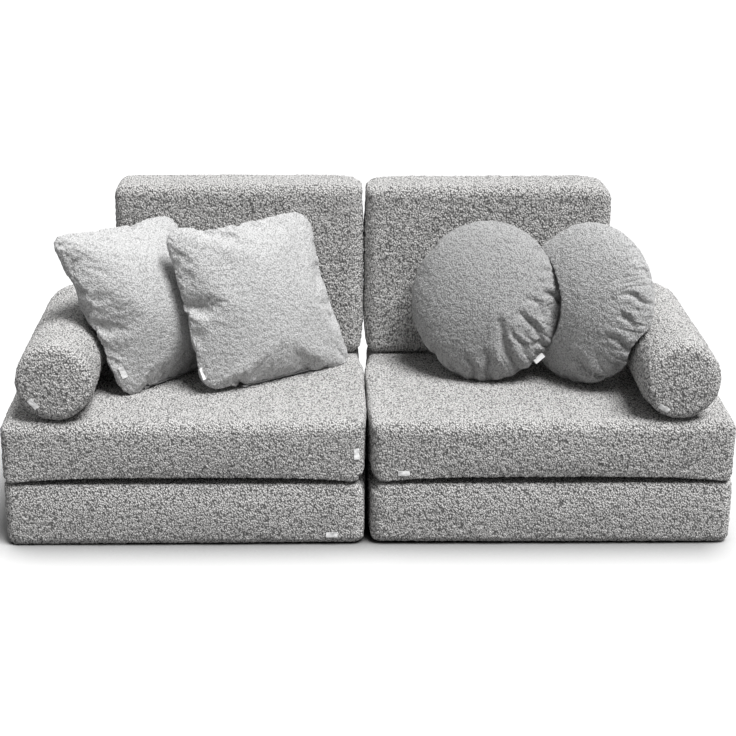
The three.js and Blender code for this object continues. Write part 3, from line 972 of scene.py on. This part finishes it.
for name, pillow in pillows.items():
    side = name.split("_")[0]
    if "folds" in pillow:
        piece = round_pillow(name, pillow["seed"], pillow["oval"])
    else:
        piece = square_pillow(name, pillow["seed"], pillow["fullness"])
        pin_corners(piece, pillow["corners"])
    modify(piece, "SUBSURF", levels=1, render_levels=1)
    if "folds" in pillow:
        fold_in(piece, pillow["folds"])
        crinkle(piece, *pillow["gathered"], crease_depth, pillow["seed"])
    lean(piece, *pillow["pose"])
    stand(piece, name + "_cover", pillow["aside"])
    meet_zip(piece, name, zip_reach)
    for towards in pillow["behind"]:
        press_on(piece, bpy.data.objects[side + "_front_pillow_boucle_cover"], towards)
    press(piece, side)
    filling(piece, name, fibre, "fibre_filling", fibre_inset, fibre_voxel)
    raise_pile(piece, pillow_pile, pillow_tuft, bare=open_slot(piece, name))
    finish_cushion(piece, name, pillow["cloth"])

# %% [markdown]
# ## Zips up close
#
# The tape carries a nylon coil whose turns look like two rows of small teeth, and the slider is a
# cast wedge with a bridge over the coil. A woven cloth is two crossing waves, its warp and weft.
# It does for the tape, the fold strip and the tags.


# %% Woven cloth and cast metal
def woven(name, grey, warmth, thread, depth):
    cloth = Finish(name, roughness=0.8, specular=0.3)
    values = {"Vector": cloth.place(), "Scale": 1 / thread}
    warp = cloth.node("TexWave", {"bands_direction": "DIAGONAL"}, values)
    weft = cloth.node("TexWave", {"bands_direction": "Z"}, values)
    height = warp * weft
    tone = 0.85 + height * 0.2
    cloth.tint(tone, paint(grey, warmth))
    cloth.bump(height, depth)
    return cloth.material


def cast_metal(name):
    metal = Finish(name, roughness=0.35, metallic=1.0)
    grain = metal.noise(0.6 * mm, metal.place())
    metal.set(metal.shader, {"Base Color": paint(196), "Roughness": 0.28 + grain * 0.2})
    metal.bump(grain, 0.05 * mm)
    return metal.material


zip_tape = woven("zip_tape", 164, 0.0, 3 * mm, 0.2 * mm)
zip_coil = woven("zip_coil", 150, 0.0, 2 * mm, 0.1 * mm)
slider_metal = cast_metal("slider_metal")
strip_cloth = woven("strip_cloth", 172, 1.0, 4 * mm, 0.3 * mm)
tag_cloth = woven("tag_cloth", 255, 0.0, 1.5 * mm, 0.05 * mm)

# %% [markdown]
# Each turn of the coil is a small bar, and the slider is four bars with bevelled edges: a plate,
# two flanges and a bridge. All are made in the zip's own axes and set in its place.

# %% Coils and sliders
tooth_pitch = 3.0 * mm
tooth_size = (0.9 * mm, 2.0 * mm, 0.6 * mm, 1)
slider_bevel = 0.15 * mm
slider_parts = (
    ((0, 0, 0.0), (1, 1, 0.35)),
    ((0.1, 0.42, 0.15), (0.75, 0.14, 0.5)),
    ((0.1, -0.42, 0.15), (0.75, 0.14, 0.5)),
    ((0, 0, 0.3), (0.5, 0.3, 0.2)),
)


def frame_matrix(middle, axes):
    matrix = Matrix(np.array(axes).T.tolist()).to_4x4()
    matrix.translation = Vector(middle)
    return matrix


def zip_frame(name, part):
    """The matrix of a zip part's own axes, and the spans of the part along them."""
    middle, axes, spans = axes_of(name + part, name)
    return frame_matrix(middle, axes), spans


def add_bar(bm, place, centre, size):
    spot = Matrix.Translation(centre)
    bmesh.ops.create_cube(bm, size=1, matrix=place @ spot @ Matrix.Diagonal(size))


def coil(name):
    """Two rows of coil turns along a zip. Returns how many turns there are."""
    place, spans = zip_frame(name, "_zip")
    bm = bmesh.new()
    count = int(spans[0] / tooth_pitch)
    for i in range(count):
        along = (i + 0.5 - count / 2) * tooth_pitch
        for row in (-1, 1):
            shift = along + row * tooth_pitch / 4
            spot = Vector((shift, row * 0.5 * mm, spans[2] / 2 + 0.25 * mm))
            add_bar(bm, place, spot, tooth_size)
    piece = object_from(bm, name + "_zip_coil")
    cover_with(piece, zip_coil)
    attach(piece, name)
    return count


def slider(name):
    """A slider. Its parts' centres and sizes are shares of the frame's slider."""
    place, spans = zip_frame(name, "_slider")
    bm = bmesh.new()
    for centre, size in slider_parts:
        add_bar(bm, place, Vector(np.array(centre) * spans), (*(np.array(size) * spans), 1))
    bevel(bm, list(bm.edges), slider_bevel)
    piece = object_from(bm, name + "_zip_slider")
    cover_with(piece, slider_metal)
    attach(piece, name + "_zip_slider")
    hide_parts(name + "_slider")


cushions = [node.removesuffix("_cover") for node in frame["nodes"] if node.endswith("_cover")]
turns = sum(coil(name) for name in cushions)
for name in cushions:
    slider(name)
    cover_with(frame["nodes"][name + "_zip"], zip_tape)
print("coil turns on all zips:", turns)

# %% [markdown]
# ## The fold strip
#
# A flat strip of cloth is sewn to the two slabs of a module and folds between them. It is one
# sheet. Its section, two leaves and a fold, is extruded across the slab in steps.

# %% A fold strip
strip_thickness, strip_steps, fold_steps = 0.9 * mm, 40, 8


def fold_strip(side):
    low, low_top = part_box(side + "_fold_lower_leaf")
    upper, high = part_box(side + "_fold_upper_leaf")
    lower_z, upper_z = (low.z + low_top.z) / 2, (upper.z + high.z) / 2
    bend = (upper_z - lower_z) / 2
    front, back = low.y, low_top.y - bend
    outline = [(front, lower_z), (back, lower_z)]
    for step in range(1, fold_steps):
        turn = math.pi * step / fold_steps
        outline.append((back + bend * math.sin(turn), lower_z + bend * (1 - math.cos(turn))))
    outline += [(back, upper_z), (front, upper_z)]
    bm = bmesh.new()
    line = [bm.verts.new((low.x, y, z)) for y, z in outline]
    edges = [bm.edges.new(pair) for pair in zip(line, line[1:])]
    for _ in range(strip_steps):
        grown = bmesh.ops.extrude_edge_only(bm, edges=edges)["geom"]
        verts = [g for g in grown if isinstance(g, bmesh.types.BMVert)]
        edges = [g for g in grown if isinstance(g, bmesh.types.BMEdge)]
        edges = [edge for edge in edges if all(vert in verts for vert in edge.verts)]
        bmesh.ops.translate(bm, vec=((low_top.x - low.x) / strip_steps, 0, 0), verts=verts)
    bmesh.ops.recalc_face_normals(bm, faces=bm.faces)
    strip = object_from(bm, side + "_fold_strip")
    modify(strip, "SOLIDIFY", thickness=strip_thickness, offset=0)
    cover_with(strip, strip_cloth)
    shade_smooth(strip)
    side + "_base"
    side + "_seat"
    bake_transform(strip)
    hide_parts(side + "_fold_lower_leaf", side + "_fold_upper_leaf")
    leaf = back - front
    flat = (low_top.x - low.x, 2 * leaf + math.pi * bend)
    side + "_base_boucle_cover"
    print(strip.name, "flat size, mm:", [round(size / mm, 1) for size in flat])


for side in ("left", "right"):
    fold_strip(side)

# %% [markdown]
# ## Tags
#
# A small white woven label is folded in two and sewn into a seam. Here each one is bare. Two stand
# out of their pillow's seam like a little flag, and are moved until they are sewn in. The others
# lie on the cloth, so a ray brings each of their points down onto the cover.

# %% A tag
tag_wave, tag_lift, tag_sewn, tag_ray = 0.25 * mm, 1.6 * mm, 2 * mm, 60 * mm
tag_share = 0.8


def lay_on(bm, cover, out, lift):
    tree = tree_of(cover)
    for vert in bm.verts:
        place = tree.ray_cast(vert.co + out * tag_ray, -out)[0]
        if place is not None:
            vert.co = place + out * lift


def sew_in(bm, cover, depth):
    """Moves a tag that stands off its cover until its nearest point is in the seam."""
    tree = tree_of(cover)
    found = []
    for vert in bm.verts:
        place, normal, _, gap = tree.find_nearest(vert.co)
        outside = (vert.co - place).dot(normal) > 0
        found.append((gap if outside else -gap, place - vert.co))
    gap, way = min(found, key=lambda item: item[0])
    if gap > 0:
        bmesh.ops.translate(bm, vec=way.normalized() * (gap + depth), verts=bm.verts)


def tag(node):
    body = frame["nodes"][node]["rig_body"]
    cover = bpy.data.objects[body + "_boucle_cover"]
    middle, axes, spans = axes_of(node, body)
    place = frame_matrix(middle, axes)
    length, width, thickness = spans
    bm = bmesh.new()
    bmesh.ops.create_grid(bm, x_segments=14, y_segments=8, size=0.5)
    bmesh.ops.scale(bm, vec=(length, width, 1), verts=bm.verts)
    for vert in bm.verts:
        vert.co.z = tag_wave * math.sin(vert.co.x / length * 5 + vert.co.y / width)
    bmesh.ops.transform(bm, matrix=place, verts=bm.verts)
    if "front_pillow" in node:
        sew_in(bm, cover, tag_sewn)
    else:
        lay_on(bm, cover, Vector(axes[2]), tag_lift)
        every_axis = {"use_axis_x": True, "use_axis_y": True, "use_axis_z": True}
        bmesh.ops.smooth_vert(bm, verts=bm.verts, factor=0.5, **every_axis)
    bmesh.ops.recalc_face_normals(bm, faces=bm.faces)
    piece = object_from(bm, node + "_woven")
    modify(piece, "SOLIDIFY", thickness=tag_share * thickness, offset=0)
    cover_with(piece, tag_cloth)
    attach(piece, body)
    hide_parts(node)
    print(piece.name, "starts at, mm:", (np.array(piece.bound_box[0]) / mm).round(1))


for node in [name for name in frame["nodes"] if name.endswith("_tag")]:
    tag(node)

# %% [markdown]
# ## Floor, light and camera
#
# The photograph has soft light from above and from the right, a pure white ground and a short dark
# shadow under the front edge. The floor is white to the camera and to glossy rays, and greyer to
# bounced light, which would wash out the sofa's front. Close to the sofa an ambient occlusion node
# darkens it, but less on the lamp's side.

# %% The floor
floor_seen, floor_bounce, floor_dark = 0.62, 0.2, 0.02
shadow_reach, shadow_power, shadow_lost = 115 * mm, 1.3, 0.7
lamp_side_from, lamp_side_to = 740 * mm, 830 * mm


def flat_grey(value):
    return (value, value, value, 1)


floor_bm = bmesh.new()
bmesh.ops.create_grid(floor_bm, x_segments=1, y_segments=1, size=40)
ground = object_from(floor_bm, "floor")
white_floor = Finish("floor_white", roughness=1.0, specular=0.0)
camera_ray = white_floor.node("LightPath", output="Is Camera Ray")
glossy_ray = white_floor.node("LightPath", output="Is Glossy Ray")
through_ray = white_floor.node("LightPath", output="Is Transmission Ray")
either = {0: camera_ray + glossy_ray, 1: through_ray}
seen = white_floor.node("Math", {"operation": "ADD", "use_clamp": True}, either)
open_sky = white_floor.node(
    "AmbientOcclusion", {"samples": 8}, {"Distance": shadow_reach}, output=1
)
across = white_floor.node("SeparateXYZ", values={0: white_floor.place()}, output="X")
edges = {"From Min": lamp_side_from, "From Max": lamp_side_to, "To Max": shadow_lost}
lamp_side = white_floor.node("MapRange", values={"Value": across, **edges})
close = 1 - (1 - open_sky) * (1 - lamp_side)
lit = white_floor.mix(close**shadow_power, flat_grey(floor_dark), flat_grey(floor_seen))
colour = white_floor.mix(seen, flat_grey(floor_bounce), lit)
white_floor.set(white_floor.shader, {"Base Color": colour})
cover_with(ground, white_floor.material)
ground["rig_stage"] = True
print("the floor is", floor_seen, "to the camera and", floor_bounce, "to bounced light")

# %% [markdown]
# The world is a dim even grey that lights the sofa from all around, and plain white for the camera
# and for reflections.

# %% The world
sky_light = 0.18
world = bpy.data.worlds.new("studio")
scene.world = world
world.use_nodes = True
nodes = world.node_tree.nodes
kinds = ("LightPath", "Background", "Math", "MixShader")
paths, white, either, swap = (nodes.new("ShaderNode" + kind) for kind in kinds)
sky, output = nodes["Background"], nodes["World Output"]
sky.inputs["Color"].default_value = flat_grey(sky_light)
white.inputs["Color"].default_value = flat_grey(1)
either.operation = "MAXIMUM"
for start, end in (
    (paths.outputs["Is Camera Ray"], either.inputs[0]),
    (paths.outputs["Is Glossy Ray"], either.inputs[1]),
    (either.outputs[0], swap.inputs[0]),
    (sky.outputs[0], swap.inputs[1]),
    (white.outputs[0], swap.inputs[2]),
    (swap.outputs[0], output.inputs["Surface"]),
):
    world.node_tree.links.new(start, end)
print("sky light:", sky_light)

# %% [markdown]
# A strong lamp stands high at the front right, and makes the tops bright and the fronts darker. A
# broad weak one behind the sofa brightens the rear of the tops and the rims.


# %% Lamps
def sun(name, strength, spread, azimuth, elevation):
    """azimuth is 0 in front of the sofa and 90 at the right of the photograph."""
    light = bpy.data.lights.new(name, "SUN")
    light.energy = strength
    light.angle = math.radians(spread)
    lamp = bpy.data.objects.new(name, light)
    turn, rise = math.radians(azimuth), math.radians(elevation)
    level = math.cos(rise)
    towards = Vector((math.sin(turn) * level, -math.cos(turn) * level, math.sin(rise)))
    lamp.rotation_euler = towards.to_track_quat("Z", "Y").to_euler()
    scene.collection.objects.link(lamp)
    print("lamp", name, "of strength", strength)


sun("key", strength=5.2, spread=28, azimuth=49, elevation=65)
sun("back_fill", strength=0.9, spread=70, azimuth=190, elevation=40)

# %% [markdown]
# The camera was fitted to the straight edges of the photograph. It stands about 3.5 m away and
# looks down by 21 degrees. The picture is cut out of a wider one, so its middle is off the lens
# axis.

# %% Camera
picture_px, focal_px, axis_px = 736, 1632.7, 333.5
camera_down, camera_turn = 20.98, -0.43
camera = bpy.data.cameras.new("camera")
camera.sensor_width = 36.0
camera.lens = focal_px / picture_px * camera.sensor_width
camera.shift_x = (picture_px / 2 - axis_px) / picture_px
viewer = bpy.data.objects.new("camera", camera)
viewer.location = (-99.6 * mm, -3523.7 * mm, 1668.6 * mm)
viewer.rotation_euler = (math.radians(90 - camera_down), 0, math.radians(camera_turn))
scene.collection.objects.link(viewer)
scene.camera = viewer
scene.view_settings.view_transform = "Standard"
print("focal length, mm:", round(camera.lens, 1))

# %% [markdown]
# ## The box
#
# Cloth may stand a little proud of the frame, but the sofa keeps its size. How far each corner of
# the box moved is printed.

# %% Print the sizes and finish
own_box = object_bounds()
for corner, cad, own in zip(("low", "high"), cad_box, own_box):
    print(corner, "corner moved by, mm:", [round((b - a) / mm, 1) for a, b in zip(cad, own)])
